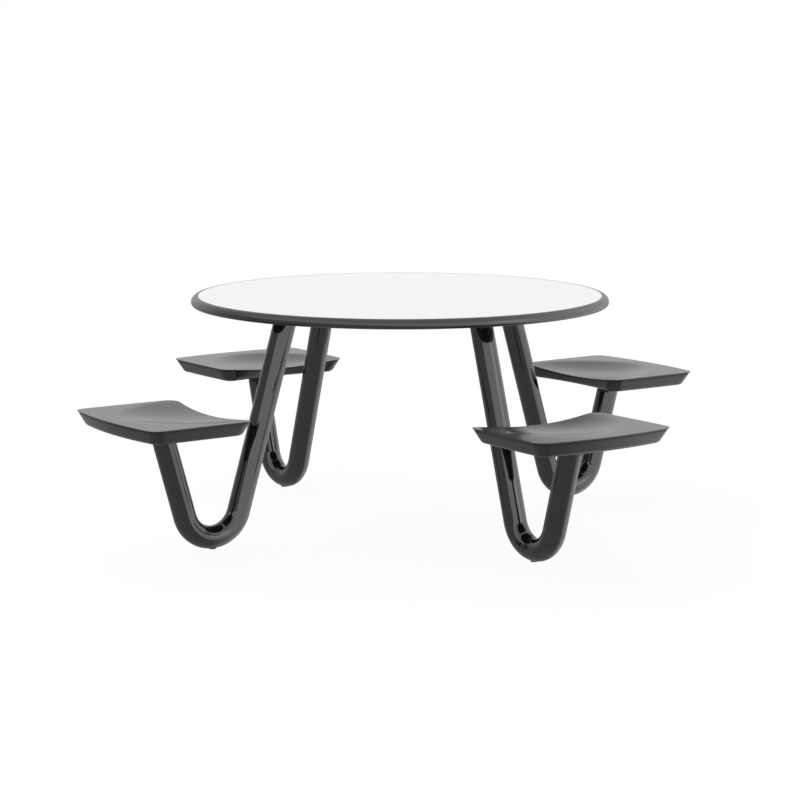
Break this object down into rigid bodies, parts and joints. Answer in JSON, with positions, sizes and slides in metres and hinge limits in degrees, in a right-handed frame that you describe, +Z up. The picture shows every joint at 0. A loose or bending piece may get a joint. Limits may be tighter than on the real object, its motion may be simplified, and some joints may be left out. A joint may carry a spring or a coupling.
{
  "type": "table with attached swivel seats",
  "caption": "Round laminate table on V-bent black tube legs, each leg running down to the floor and up again to a dished plastic seat that swivels and springs back.",
  "frame": {"origin": "on the floor below the centre of the round top", "axes": "+Z up, leg 1 and its seat along +X, leg 2 along +Y, leg 3 along -X, leg 4 along -Y"},
  "size_m": [2.1844, 2.1844, 0.7635],
  "materials": {
    "laminate": "fine matt texture, off-white high-pressure laminate",
    "edge_plastic": "satin dark grey moulding",
    "board": "raw particle board",
    "backer": "plain dark balancing sheet",
    "powder_coat": "gloss black powder coat",
    "zinc_steel": "bright zinc plating",
    "bare_steel": "turned and greased",
    "spring_steel": "dark oiled wire",
    "nylon": "black nylon",
    "seat_plastic": "matt grey, lightly textured",
    "pan_plastic": "matt black sheet"
  },
  "bodies": {
    "table": {"laminate_top": "laminate", "core_board": "board", "backer_sheet": "backer", "edge_moulding": "edge_plastic", "cross_beam_long": "powder_coat", "cross_beam_short_2": "powder_coat", "cross_beam_short_4": "powder_coat", "frame_plates": "powder_coat", "top_bolts": "zinc_steel", "threaded_inserts": "zinc_steel", "floor_glides": "nylon", "thrust_washers": "nylon", "retaining_washers": "zinc_steel", "retaining_screws": "zinc_steel", "leg_flange_1": "powder_coat", "leg_flange_2": "powder_coat", "leg_flange_3": "powder_coat", "leg_flange_4": "powder_coat", "leg_tube_1": "powder_coat", "leg_tube_2": "powder_coat", "leg_tube_3": "powder_coat", "leg_tube_4": "powder_coat", "arm_cap_1": "powder_coat", "arm_cap_2": "powder_coat", "arm_cap_3": "powder_coat", "arm_cap_4": "powder_coat", "spindle_1": "bare_steel", "spindle_2": "bare_steel", "spindle_3": "bare_steel", "spindle_4": "bare_steel", "return_spring_1": "spring_steel", "return_spring_2": "spring_steel", "return_spring_3": "spring_steel", "return_spring_4": "spring_steel"},
    "seat_1": {"swivel_housing_1": "powder_coat", "swivel_bushes_1": "nylon", "seat_bracket_1": "powder_coat", "seat_screws_1": "zinc_steel", "seat_shell_1": "seat_plastic", "seat_pan_1": "pan_plastic"},
    "seat_2": {"swivel_housing_2": "powder_coat", "swivel_bushes_2": "nylon", "seat_bracket_2": "powder_coat", "seat_screws_2": "zinc_steel", "seat_shell_2": "seat_plastic", "seat_pan_2": "pan_plastic"},
    "seat_3": {"swivel_housing_3": "powder_coat", "swivel_bushes_3": "nylon", "seat_bracket_3": "powder_coat", "seat_screws_3": "zinc_steel", "seat_shell_3": "seat_plastic", "seat_pan_3": "pan_plastic"},
    "seat_4": {"swivel_housing_4": "powder_coat", "swivel_bushes_4": "nylon", "seat_bracket_4": "powder_coat", "seat_screws_4": "zinc_steel", "seat_shell_4": "seat_plastic", "seat_pan_4": "pan_plastic"}
  },
  "joints": [
    {"name": "seat_1_swivel", "type": "hinge", "parent": "table", "child": "seat_1", "pos_m": [0.89425, 0, 0.3905], "axis": [0, 0, 1], "range_deg": [-90, 90], "stiffness_Nm_per_rad": 2, "deforming": ["return_spring_1"]},
    {"name": "seat_2_swivel", "type": "hinge", "parent": "table", "child": "seat_2", "pos_m": [0, 0.89425, 0.3905], "axis": [0, 0, 1], "range_deg": [-90, 90], "stiffness_Nm_per_rad": 2, "deforming": ["return_spring_2"]},
    {"name": "seat_3_swivel", "type": "hinge", "parent": "table", "child": "seat_3", "pos_m": [-0.89425, 0, 0.3905], "axis": [0, 0, 1], "range_deg": [-90, 90], "stiffness_Nm_per_rad": 2, "deforming": ["return_spring_3"]},
    {"name": "seat_4_swivel", "type": "hinge", "parent": "table", "child": "seat_4", "pos_m": [0, -0.89425, 0.3905], "axis": [0, 0, 1], "range_deg": [-90, 90], "stiffness_Nm_per_rad": 2, "deforming": ["return_spring_4"]}
  ]
}
